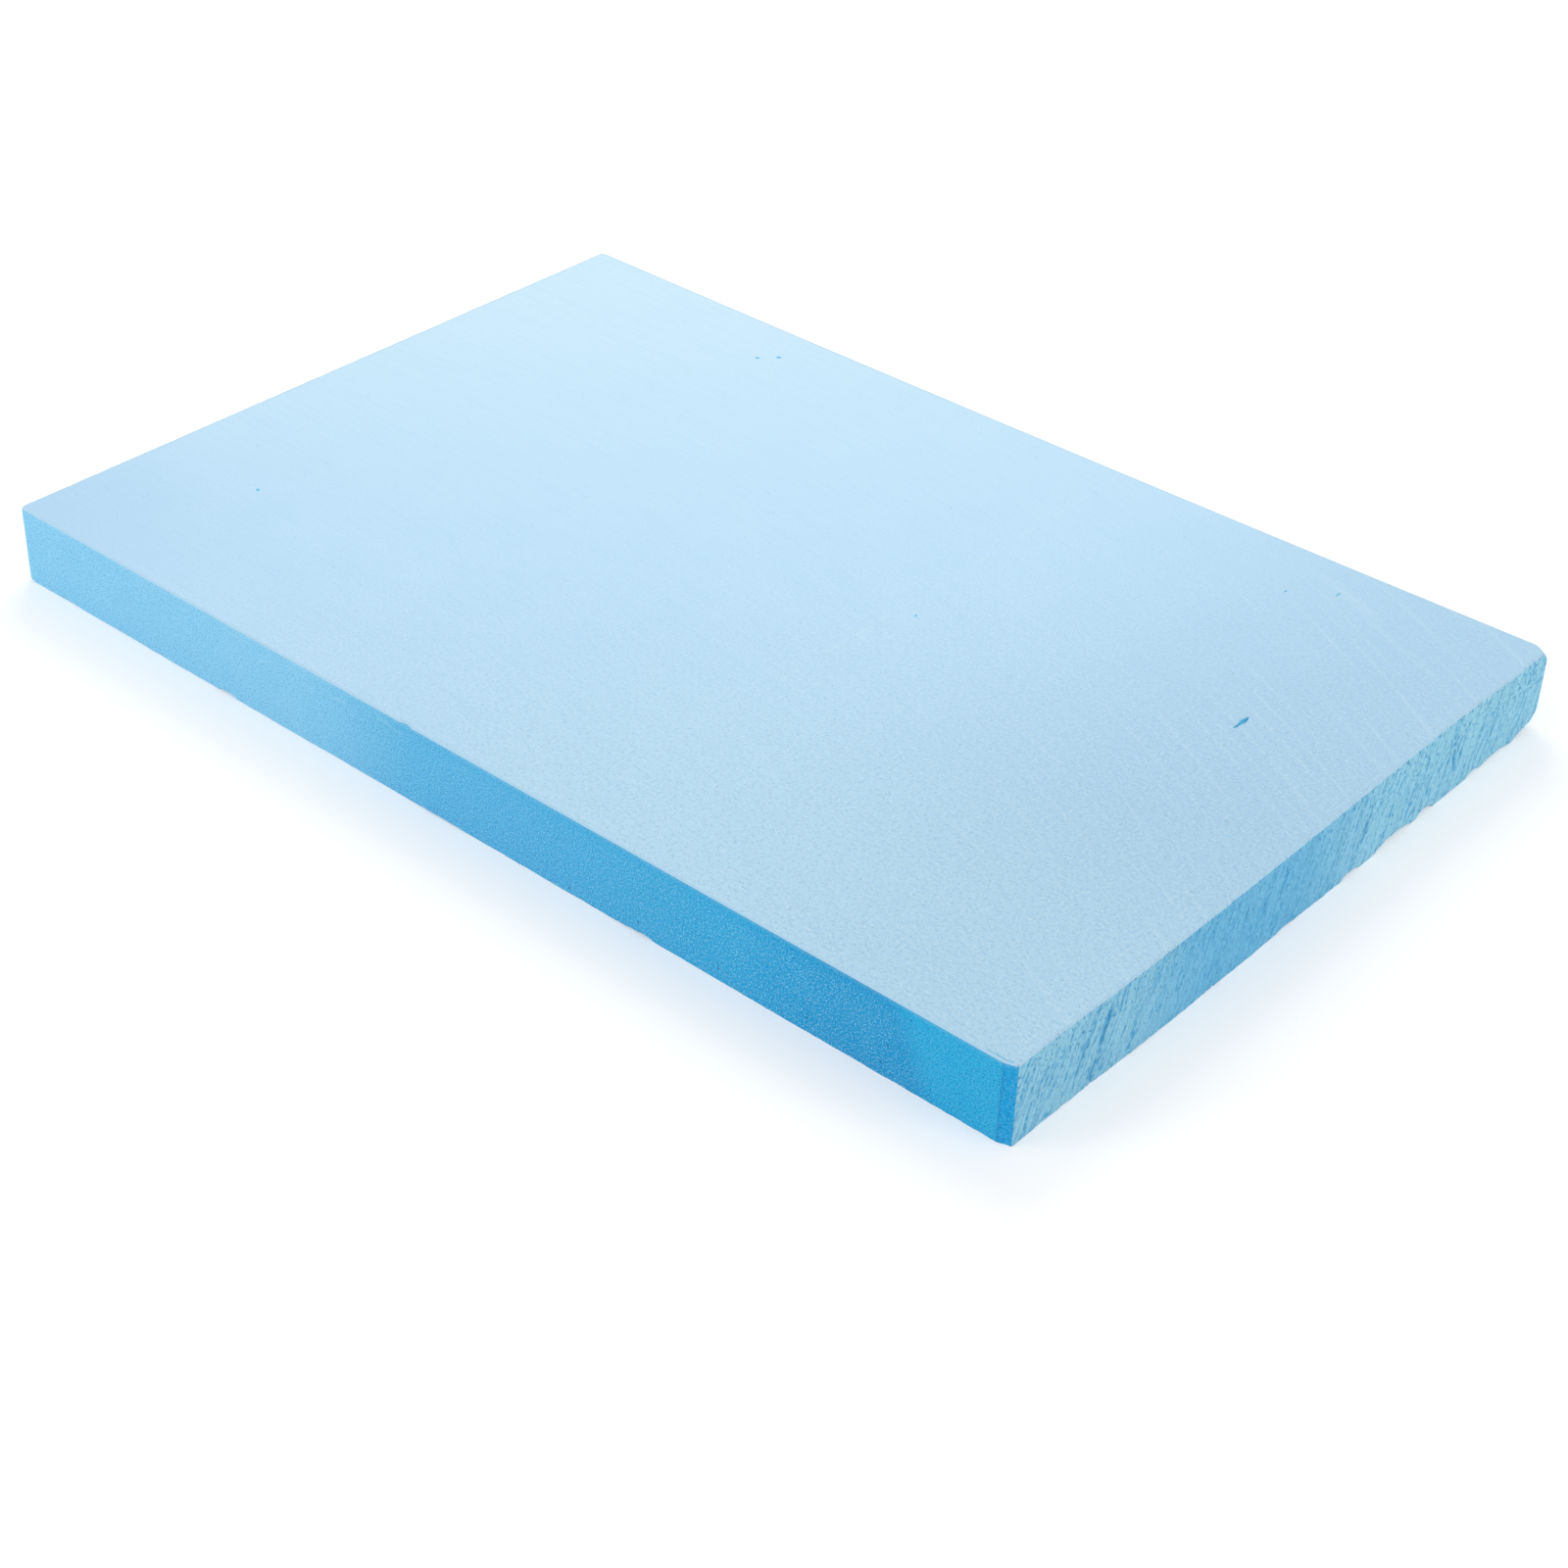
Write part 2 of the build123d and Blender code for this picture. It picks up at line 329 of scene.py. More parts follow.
def ray_lengths(solid, starts, ways, heights):
    """How far each column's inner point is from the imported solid's outer face, by row."""
    tree = BVHTree.FromPolygons(
        [v.co for v in solid.data.vertices], [p.vertices for p in solid.data.polygons]
    )
    lengths = np.zeros((len(starts), len(heights)))
    for column, (start, way) in enumerate(zip(starts, ways)):
        reach = (RAY_INSET + RAY_CLEAR) / np.abs(way).max()
        outside = start + way * reach
        inward = Vector((-way[0], -way[1], 0))
        for row, height in enumerate(heights):
            level = min(max(height, RAY_LIFT), THICK - RAY_LIFT)
            hit = tree.ray_cast(Vector((outside[0], outside[1], level)), inward, reach)
            lengths[column, row] = reach - hit[3] if hit[0] else 0.0
    return lengths


def closed_over(lengths, reach):
    """The same lengths with narrow grooves filled: a sliding maximum, then a sliding minimum."""
    for pick in (np.maximum, np.minimum):
        result = lengths.copy()
        for shift in range(-reach, reach + 1):
            result = pick(result, np.roll(lengths, shift, axis=0))
        lengths = result
    return lengths


def tear_depth(y, z, top, foot, gape, depth, seed):
    """Depth of one tear at points of an end face: a ragged groove that thins out at both tips."""
    run_y, run_z = foot[0] - top[0], foot[1] - top[1]
    reach = math.hypot(run_y, run_z)
    along = ((y - top[0]) * run_y + (z - top[1]) * run_z) / reach
    across = ((y - top[0]) * run_z - (z - top[1]) * run_y) / reach
    across = across + 0.35 * gape * noise(along / (1.3 * gape), 0.0, seed)
    share = along / reach
    taper = np.clip(4 * share * (1 - share), 0, 1) ** 0.6
    uneven = 1 + 0.45 * noise(along / (0.7 * gape), across / gape, seed + 1)
    half = gape / 2 * taper * uneven + 1e-9
    profile = np.clip(1 - (across / half) ** 2, 0, 1)
    ragged = 1 + 0.35 * noise(along / (0.5 * gape), 3.0, seed + 2)
    return depth * taper * profile * ragged * ((share > 0) & (share < 1))


def placed_tears(y, z, tears, seed):
    """How deep the tears that have a place of their own go, at points of an end face."""
    torn = np.zeros_like(y)
    for number, (top, foot, gape, depth) in enumerate(tears):
        behind = TEAR_SETBACK * depth * MM
        top = ((top[0] - 0.5) * 2 * HALF_Y + behind, top[1] * THICK)
        foot = ((foot[0] - 0.5) * 2 * HALF_Y + behind, foot[1] * THICK)
        carved = sum(
            tear_depth(y, z, top, foot, share * gape * MM, TEAR_DEPTH_SHARE * depth * MM, seed + 3 * number)
            for share in TEAR_GAPES
        )
        torn = np.maximum(torn, carved)
    return torn


def small_tears(y, z, count, seed):
    """How deep short tears at random places go; they lie closer together towards the upper skin."""
    torn = np.zeros_like(y)
    for number in range(count):
        reach = random.uniform(*SMALL_TEAR_REACH) * MM
        top_z = THICK * (1 - random.uniform(0, 1) ** SMALL_TEAR_CROWDING)
        top_y = random.uniform(-HALF_Y, HALF_Y)
        slant = reach * math.tan(GRAIN_LEAN) * random.uniform(*SMALL_TEAR_LEAN)
        foot = (top_y - slant, top_z - reach)
        gape = random.uniform(*SMALL_TEAR_GAPE) * MM
        depth = random.uniform(*SMALL_TEAR_DEPTH) * MM
        near = (abs(y - top_y) < SMALL_TEAR_BOX[0]) & (abs(z - top_z) < SMALL_TEAR_BOX[1])
        if near.any():
            carved = tear_depth(y[near], z[near], (top_y, top_z), foot, gape, depth, seed + number)
            torn[near] = np.maximum(torn[near], carved)
    return torn


def end_relief(y, z, tears, small_count, seed):
    """How far a sawn end's surface stands out, and how much of that is torn open."""
    along = z * math.cos(GRAIN_LEAN) + y * math.sin(GRAIN_LEAN)
    across = y * math.cos(GRAIN_LEAN) - z * math.sin(GRAIN_LEAN)
    across = across + waves(y, z, 0.5 * MM, 7, 6, seed + 3)
    swell = waves(y, z, 0.12, 19, 11, seed)
    troughs = waves(across, along, 0.05, 3.2, 16, seed + 5)
    ridges = waves(across, along, 0.04, 1.2, 8, seed + 1)
    grain = waves(across, along, 0.03, 0.7, 2.4, seed + 2)
    torn = np.maximum(placed_tears(y, z, tears, seed + 10), small_tears(y, z, small_count, seed))
    # The saw left the upper edge nearly straight, with crumbs off it, and a slight burr along the lower one
    steady = STEADY_SHARE + (1 - STEADY_SHARE) * smooth_step(0, STEADY_BAND, THICK - z)
    crumble = 0.12 + waves(y, 0.0, 0.07, 1.5, 1, seed + 6) + waves(y, 0.0, 0.04, 0.5, 1, seed + 7)
    crumble = crumble * np.clip(1 - (THICK - z) / CRUMBLE_BAND, 0, 1) ** 2
    burr = waves(y, z, 0.06, 1.7, 1, seed + 8) * np.clip(1 - z / BURR_BAND, 0, 1)
    relief = MM * (steady * (swell + troughs + ridges + grain) - crumble + burr) - torn
    return relief, torn


def saw_lean(y, z):
    """How far the sawn face leans out at its foot, over the back half of the sawn end."""
    stretch = smooth_step(*FOOT_LEAN_START, y) * (1 - smooth_step(*FOOT_LEAN_END, y))
    return FOOT_LEAN * stretch * (1 - z / THICK)


def tuft_relief(y, z):
    """How far the tufts along the lower edge of the sawn end stand out."""
    total = np.zeros_like(y)
    for place, reach in TUFTS:
        total += reach * MM * hump(y, place * MM, TUFT_WIDTH) * np.clip(1 - z / TUFT_HEIGHT, 0, 1)
    return total


def side_relief(x, z, seed):
    """How far a fine-cut long side's surface stands out."""
    swell = waves(x, z, 0.05, 31, 15, seed)
    grain = waves(x, z, 0.015, 2.2, 1.1, seed + 1)
    frayed = waves(x, 0.0, 0.15, 5.3, 1, seed + 2) + waves(x, 0.0, 0.08, 1.6, 1, seed + 3)
    return MM * (swell + grain - np.abs(frayed) * np.clip(1 - z / FRAYED_BAND, 0, 1))


def wall_points(solid):
    """Points of the side walls by column and row, with the marks that the materials read."""
    starts, way, past = wall_rays()
    heights = wall_heights()
    lengths = ray_lengths(solid, starts, way, heights)
    on_end = past > 0
    lengths[on_end] = closed_over(lengths, CLOSING_COLUMNS)[on_end]
    z = np.broadcast_to(heights, lengths.shape)
    flat = starts[:, None, :] + way[:, None, :] * lengths[..., None]
    x, y = flat[..., 0], flat[..., 1]

    # The sawn ends start at the middle of each upright's rounding, and past the bevel at the front
    past = past[:, None] * np.ones_like(z)
    sawn = smooth_step(*SAWN_START, past)
    bevelled = (x > 0) & (y < 0) & (past > -CORNER_RUN)
    past_bevel = smooth_step(-BEVEL_BLEND, BEVEL_BLEND, HALF_Y - BEVEL_DEPTH - np.abs(y))
    sawn = np.where(bevelled, past_bevel, sawn)

    relief = np.zeros_like(z)
    torn = np.zeros_like(z)
    for sign, tears, small_count, seed in ((1, TEARS, SMALL_TEARS, 100), (-1, (), PLAIN_END_TEARS, 400)):
        here = (sawn > 0) & (np.sign(x) == sign)
        there_relief, there_torn = end_relief(y[here], z[here], tears, small_count, seed)
        if sign > 0:
            there_relief = there_relief + tuft_relief(y[here], z[here]) + saw_lean(y[here], z[here])
        relief[here] += sawn[here] * there_relief
        torn[here] += sawn[here] * there_torn
    for sign, seed in ((-1, 700), (1, 750)):
        here = (sawn < 1) & (np.sign(y) == sign)
        near_skin = smooth_step(0, SMOOTH_BAND, (THICK - z)[here])
        relief[here] += (1 - sawn[here]) * near_skin * side_relief(x[here], z[here], seed)

    limit = RAY_INSET / np.abs(way).max(axis=1) + LIFT_LIMIT
    spread = np.minimum(lengths + relief, limit[:, None])
    flat = starts[:, None, :] + way[:, None, :] * spread[..., None]
    points = np.concatenate([flat, z[..., None]], axis=-1)

    skin = 1 - smooth_step(*SKIN_FADE, np.minimum(z, THICK - z))

    # One more ring at each end, just inside the rim, so that the skins shade flat up to their edges
    inner = way[:, None, :] * SKIN_RING
    rings = []
    for row in (0, -1):
        ring = points[:, [row]].copy()
        ring[..., :2] -= inner
        rings.append(ring)
    points = np.concatenate([rings[0], points, rings[1]], axis=1)

    def widened(values, fill):
        edge = np.full((len(values), 1), fill)
        return np.concatenate([edge, values, edge], axis=1)

    return points, widened(sawn, 0.0), widened(torn, 0.0), widened(skin, 1.0)


# Skins

def from_middle(shares):
    """A place on the skins from its shares of the length and the width."""
    return (shares[0] * 2 * HALF_X, shares[1] * 2 * HALF_Y)


def slit_form(x, y, centre, length, gape, depth):
    """Depth of a slit in the upper skin with its slightly lifted rim, and how far it is open."""
    share = (y - centre[1]) / length + 0.5
    to_tail = np.clip(share / SLIT_WIDEST, 0, 1) ** 1.4
    to_head = np.clip((share - SLIT_WIDEST) / (1 - SLIT_WIDEST), 0, 1)
    half = gape / 2 * to_tail * np.sqrt(1 - to_head**2)
    across = np.abs(x - centre[0]) + waves(y, 0.0, 0.05 * gape, 0.8, 1, 31)
    open_share = np.clip(1 - across / (half + 1e-9), 0, 1) * (np.abs(share - 0.5) < 0.5)
    rim = hump(across, half, 0.3 * gape) * (np.abs(share - 0.5) < 0.55)
    sunk = depth * np.minimum(1, 1.6 * open_share) - 0.06 * gape * rim * (open_share <= 0)
    return sunk, np.minimum(1, 2.2 * open_share)


def pit_form(x, y, centre, radius, number):
    """How deep the skin is sunk over an uneven round pit, as a share of its depth."""
    off_x = x - centre[0]
    off_y = y - centre[1]
    bearing = np.arctan2(off_y, off_x)
    edge = radius * (1 + 0.18 * np.sin(2 * bearing + number) + 0.1 * np.sin(3 * bearing))
    return np.clip(1 - (np.hypot(off_x, off_y) / edge) ** 2, 0, 1)


def lip_form(x, y):
    """Height of the skin's lifted lip along the front edge beside the bevelled corner."""
    start, end = LIP_RUN
    here = smooth_step(start, start + 2 * MM, x) * (1 - smooth_step(end - MM, end, x))
    edge = np.clip((x - HALF_X + BEVEL_RUN) / BEVEL_RUN, 0, 1) * BEVEL_DEPTH
    inset = y + HALF_Y - edge
    crease = hump(inset, *LIP_CREASE)
    crest = hump(inset, *LIP_CREST)
    return MM * here * (LIP_HEIGHT * crest - LIP_DEPTH * crease), 0.35 * here * crease


def upper_relief(x, y):
    """Height of the upper skin over its plane, and how much of it is opened."""
    lip, opened = lip_form(x, y)
    height = lip + waves(x, y, 0.03 * MM, 38, 27, 51)
    for place, length, gape, depth in SLITS:
        seen_depth = SLIT_FLOOR * depth * MM
        sunk, parted = slit_form(x, y, from_middle(place), length * MM, gape * MM, seen_depth)
        height = height - sunk
        opened = np.maximum(opened, parted * min(1, 0.35 + 0.6 * depth))
    for number, (place, radius, depth) in enumerate(PITS):
        share = pit_form(x, y, from_middle(place), radius * MM, number)
        height = height - depth * MM * share
        opened = np.maximum(opened, PIT_OPENED * np.minimum(1, 1.5 * share))
    return height, opened


def lattice(low, high, step, jitter):
    """Points on a square grid over a box, each moved a little at random."""
    columns = np.arange(low[0], high[0], step)
    rows = np.arange(low[1], high[1], step)
    spots = np.stack(np.meshgrid(columns, rows), axis=-1).reshape(-1, 2)
    return spots + random.uniform(-jitter, jitter, spots.shape) * step


def inside(ring, spots):
    """Which points lie inside a closed ring."""
    result = np.zeros(len(spots), bool)
    after = np.roll(ring, -1, axis=0)
    for (ax, ay), (bx, by) in zip(ring, after):
        if ay == by:
            continue
        crossed = (ay > spots[:, 1]) != (by > spots[:, 1])
        result ^= crossed & (spots[:, 0] < (bx - ax) * (spots[:, 1] - ay) / (by - ay) + ax)
    return result


def cap_places(ring, spacing, marks):
    """Inner points of a skin: close together near its rim and its marks, wide apart elsewhere."""
    low = ring.min(axis=0)
    high = ring.max(axis=0)
    tree = KDTree(len(ring))
    for number, place in enumerate(ring):
        tree.insert((place[0], place[1], 0), number)
    tree.balance()

    def clearance(spots):
        return np.array([tree.find((s[0], s[1], 0))[2] for s in spots])

    def outside_marks(spots):
        keep = np.ones(len(spots), bool)
        for centre, reach in marks:
            keep &= (np.abs(spots - centre) > reach).any(axis=1)
        return spots[keep]

    wide = outside_marks(lattice(low, high, spacing, 0.2))
    wide = wide[clearance(wide) > RIM_CLEAR + RIM_BAND]
    close = outside_marks(lattice(low, high, RIM_SPACING, 0.15))
    # Only points near the box can be near the rim, which wanders no further than this inside it
    edge_depth = np.minimum(close - low, high - close).min(axis=1)
    close = close[edge_depth < RIM_CLEAR + RIM_BAND + RIM_WANDER]
    gap = clearance(close)
    close = close[(gap > RIM_CLEAR) & (gap < RIM_CLEAR + RIM_BAND)]
    found = [wide, close]
    for centre, reach in marks:
        spots = lattice(np.array(centre) - reach, np.array(centre) + reach, MARK_SPACING, 0.1)
        found.append(spots[clearance(spots) > MARK_CLEAR])
    spots = np.concatenate(found)
    return spots[inside(ring, spots)]


def cap_faces(ring, spots):
    """Triangles over a skin's outline and inner points, with each result point's place."""
    count = len(ring)
    places = [Vector(p) for p in np.concatenate([ring, spots])]
    rim = [(i, (i + 1) % count) for i in range(count)]
    found = delaunay_2d_cdt(places, rim, [list(range(count))], 1, MERGE_DISTANCE)
    return np.array([tuple(p) for p in found[0]]), found[2], found[3]


def mark_boxes():
    """Centre and reach of each place in the upper skin that needs close points."""
    boxes = []
    for place, length, gape, _ in SLITS:
        boxes.append((from_middle(place), (gape * MM + 0.3 * MM, 0.6 * length * MM)))
    for place, radius, _ in PITS:
        boxes.append((from_middle(place), (2 * radius * MM, 2 * radius * MM)))
    boxes.append(((sum(LIP_RUN) / 2, LIP_BOX[1] - HALF_Y), LIP_BOX))
    return boxes


# One closed mesh

def wall_faces(sawn):
    """Four-sided faces of the side walls, which run right round the sheet, and their materials."""
    columns, rows = sawn.shape
    faces, slots = [], []
    for column in range(columns):
        here = column * rows
        after = (column + 1) % columns * rows
        for row in range(rows - 1):
            faces.append((here + row, after + row, after + row + 1, here + row + 1))
            slots.append(SAWN_SLOT if sawn[column, max(row, 1)] > 0.5 else SIDE_SLOT)
    return faces, slots


def sewn_skin(walls, row, spacing, boxes, total):
    """A skin sewn to one row of the walls: its own points, how far each is opened, and its faces."""
    columns, rows = walls.shape[:2]
    ring = walls[:, row, :2]
    places, triangles, origins = cap_faces(ring, cap_places(ring, spacing, boxes))
    numbers, fresh = [], []
    for place, origin in zip(places, origins):
        on_ring = [o for o in origin if o < columns]
        if on_ring:
            numbers.append(on_ring[0] * rows + row)
        else:
            numbers.append(total + len(fresh))
            fresh.append(place)
    fresh = np.array(fresh)
    level = np.full(len(fresh), walls[0, row, 2])
    opened = np.zeros(len(fresh))
    if row:
        height, opened = upper_relief(fresh[:, 0], fresh[:, 1])
        level = level + height
    turned = 1 if row else -1
    faces = [tuple(numbers[i] for i in triangle)[::turned] for triangle in triangles]
    return np.column_stack([fresh, level]), opened, faces


def sheet_mesh(solid):
    """The whole sheet: walls, then the two skins sewn to their first and last rows."""
    walls, sawn, torn, skin = wall_points(solid)
    points = [walls.reshape(-1, 3)]
    marks = {"torn": [torn.ravel() / MM], "skin": [skin.ravel()]}
    faces, slots = wall_faces(sawn)
    total = len(points[0])
    last_row = walls.shape[1] - 1
    for row, spacing, boxes in ((0, LOWER_SPACING, []), (last_row, UPPER_SPACING, mark_boxes())):
        fresh, opened, triangles = sewn_skin(walls, row, spacing, boxes, total)
        points.append(fresh)
        marks["torn"].append(opened)
        marks["skin"].append(1 - opened)
        faces += triangles
        slots += [SKIN_SLOT] * len(triangles)
        total += len(fresh)
    mesh = bpy.data.meshes.new("foam_sheet_skin")
    mesh.from_pydata(np.concatenate(points).tolist(), [], faces)
    mesh.polygons.foreach_set("material_index", slots)
    mesh.validate()
    for name, parts in marks.items():
        attribute = mesh.attributes.new(name, "FLOAT", "POINT")
        attribute.data.foreach_set("value", np.concatenate(parts).astype(np.float32))
    mesh.shade_smooth()
    return mesh


# Material nodes

class Nodes:
    """Short calls for building the node tree of one material or world."""

    def __init__(self, owner):
        owner.use_nodes = True
        self.owner = owner
        self.tree = owner.node_tree
        self.tree.nodes.clear()

    def make(self, kind, inputs=(), **settings):
        node = self.tree.nodes.new(kind)
        for key, value in settings.items():
            setattr(node, key, value)
        for key, value in dict(inputs).items():
            self.join(value, node.inputs[key])
        return node

    def join(self, value, socket):
        if isinstance(value, bpy.types.NodeSocket):
            self.tree.links.new(value, socket)
        else:
            socket.default_value = value

    def math(self, operation, first, second=0.0, third=0.0, clamp=False):
        node = self.make("ShaderNodeMath", operation=operation, use_clamp=clamp)
        for socket, value in zip(node.inputs, (first, second, third)):
            self.join(value, socket)
        return node.outputs[0]

    def places(self):
        """The point on the object, whole and by coordinate."""
        place = self.make("ShaderNodeTexCoord").outputs["Object"]
        return (place, *self.make("ShaderNodeSeparateXYZ", {"Vector": place}).outputs)

    def mark(self, name):
        """One of the mesh's own marks."""
        return self.make("ShaderNodeAttribute", attribute_name=name).outputs["Fac"]

    def times(self, first, *others):
        for other in others:
            first = self.math("MULTIPLY", first, other)
        return first

    def plus(self, first, *others):
        for other in others:
            first = self.math("ADD", first, other)
        return first

    def minus(self, first, second):
        return self.math("SUBTRACT", first, second)

    def size(self, value):
        return self.math("ABSOLUTE", value)

    def ramp(self, value, low, high, to_low=0.0, to_high=1.0):
        node = self.make("ShaderNodeMapRange", interpolation_type="SMOOTHSTEP")
        for socket, given in zip(node.inputs, (value, low, high, to_low, to_high)):
            self.join(given, socket)
        return node.outputs[0]

    def mix(self, share, first, second):
        node = self.make("ShaderNodeMix", data_type="RGBA", clamp_factor=True)
        self.join(share, node.inputs[0])
        self.join(first, node.inputs[6])
        self.join(second, node.inputs[7])
        return node.outputs[2]

    def over(self, base, upper, *shares):
        """A colour laid over the base, as strongly as the product of the shares."""
        return self.mix(self.times(*shares), base, upper)

    def vector(self, x, y, z=0.0):
        return self.make("ShaderNodeCombineXYZ", {"X": x, "Y": y, "Z": z}).outputs[0]

    def vector_math(self, operation, first, second):
        node = self.make("ShaderNodeVectorMath", operation=operation)
        self.join(first, node.inputs[0])
        self.join(second, node.inputs[1])
        return node

    def distance(self, first, second):
        return self.vector_math("DISTANCE", first, second).outputs["Value"]

    def noise(self, vector, scale, detail=2.0, roughness=0.5):
        inputs = {"Vector": vector, "Scale": scale, "Detail": detail, "Roughness": roughness}
        return self.make("ShaderNodeTexNoise", inputs).outputs["Fac"]

    def stretched(self, first, second, scales, pattern=0.0, detail=1.0, roughness=0.5):
        """Noise over two coordinates, each with its own scale; each pattern number gives another one."""
        scaled = self.vector(self.times(first, scales[0]), self.times(second, scales[1]), pattern)
        return self.noise(scaled, 1.0, detail, roughness)

    def cells(self, first, second, scales, share, radius):
        """Round dots, one to a cell, in only a share of the cells."""
        scaled = self.vector(self.times(first, scales[0]), self.times(second, scales[1]))
        node = self.make("ShaderNodeTexVoronoi", {"Vector": scaled, "Scale": 1.0}, voronoi_dimensions="2D")
        chosen = self.make("ShaderNodeSeparateColor", {"Color": node.outputs["Color"]}).outputs[0]
        dots = self.ramp(node.outputs["Distance"], 0.0, radius, 1.0, 0.0)
        return self.times(dots, self.math("LESS_THAN", chosen, share))

    def thread(self, value, width):
        """Thin lines along which a noise passes through its middle value."""
        return self.ramp(self.size(self.plus(value, -0.5)), 0.0, width, 1.0, 0.0)

    def stripes(self, value, period, start):
        """Even lines, one to a period; a higher start makes them thinner."""
        return self.ramp(self.math("SINE", self.times(value, 2 * math.pi / period)), start, 1.0)

    def dot(self, place, centre, radius):
        """A round spot that fades out towards its edge."""
        return self.ramp(self.distance(place, (*centre, 0.0)), 0.4 * radius, radius, 1.0, 0.0)

    def line(self, place, first, last, width):
        """A straight hairline from one point to another."""
        run = Vector((last[0] - first[0], last[1] - first[1], 0))
        off = self.vector_math("SUBTRACT", place, (*first, 0.0)).outputs[0]
        along = self.vector_math("DOT_PRODUCT", off, run.normalized()).outputs["Value"]
        along = self.math("MINIMUM", self.math("MAXIMUM", along, 0.0), run.length)
        nearest = self.make("ShaderNodeVectorMath", operation="SCALE")
        self.join(run.normalized(), nearest.inputs[0])
        self.join(along, nearest.inputs["Scale"])
        return self.ramp(self.distance(off, nearest.outputs[0]), 0.2 * width, width, 1.0, 0.0)

    def hairlines(self, place, runs, width):
        """Hairlines over runs given in mm from end to end."""
        return self.most(self.line(place, in_metres(first), in_metres(last), width) for first, last in runs)

    def most(self, masks):
        masks = list(masks)
        result = masks[0]
        for mask in masks[1:]:
            result = self.math("MAXIMUM", result, mask)
        return result

    def bump(self, height, distance):
        inputs = {"Height": height, "Distance": distance, "Strength": 1.0}
        return self.make("ShaderNodeBump", inputs).outputs[0]

    def seen_rays(self):
        """1 for rays that the camera or a reflection sees, 0 for rays that only carry light."""
        path = self.make("ShaderNodeLightPath")
        return self.math("ADD", path.outputs["Is Camera Ray"], path.outputs["Is Glossy Ray"], clamp=True)


def in_metres(place):
    """A place given in mm, in metres."""
    return tuple(part * MM for part in place)


def colour(red, green, blue):
    """A colour given as it looks on a screen, from 0 to 255, as the renderer's linear one."""
    def linear(value):
        value = value / 255
        return value / 12.92 if value <= 0.04045 else ((value + 0.055) / 1.055) ** 2.4
    return (linear(red), linear(green), linear(blue), 1.0)


# All faces share one refraction, and the skins shine a little more than the cut foam
FOAM_IOR = 1.35
SKIN_ROUGHNESS = 0.48
CUT_ROUGHNESS = 0.80
SKIN_EDGE = colour(182, 219, 243)
SKIN_EDGE_SHARE = (0.35, 0.75)

# The pale skins: their open stretch, their corners painted paler or darker as light and shade, what lies on
# them, with painted shade in the wrinkles' hollows and a painted highlight on their raised parts, and what
# shows in their slits
SKIN_DULL = colour(187, 226, 252)
SKIN_BRIGHT = colour(193, 230, 253)
SKIN_LIT_BACK_LEFT = colour(204, 236, 254)
SKIN_SHADED_FRONT_LEFT = colour(174, 214, 244)
SKIN_SHADED_RIGHT = colour(172, 213, 239)
SKIN_LIT_FRONT_RIGHT = colour(196, 236, 255)
SKIN_RIDGE = colour(206, 236, 252)
SKIN_STREAK = colour(168, 212, 242)
SKIN_HOLLOW_SHADE = colour(144, 200, 234)
SKIN_RAISED_HIGHLIGHT = colour(216, 242, 254)
SKIN_SPECK = colour(110, 176, 214)
SKIN_LINE = colour(212, 238, 250)
SKIN_OPENED = colour(88, 202, 242)
SKIN_OPENED_DEPTH = (0.05, 0.42)

# Flow lines on the skins fan out with the cube of the way from the left end. The ridges follow them,
# swaying off them a little, and lie one period apart
FLOW_FAN = 2.5
FLOW_SWAY = 16 * MM
RIDGE_PERIOD = 5.2 * MM
FINE_RIDGE_PERIOD = 2.3 * MM


def skin_ridges(n, x, flow):
    """Long soft ridges that follow the flow near the sawn end, in two widths that take turns."""
    sway = n.stretched(x, flow, (9, 70), pattern=4.0)
    swayed = n.plus(flow, n.times(sway, FLOW_SWAY))
    faint = n.stretched(x, flow, (22, 150), pattern=2.0)
    broad = n.times(n.stripes(swayed, RIDGE_PERIOD, 0.60), n.ramp(faint, 0.42, 0.62))
    fine = n.times(n.stripes(swayed, FINE_RIDGE_PERIOD, 0.40), n.ramp(faint, 0.60, 0.40))
    return n.times(n.plus(broad, n.times(fine, 0.5)), n.ramp(x, 60 * MM, 125 * MM))


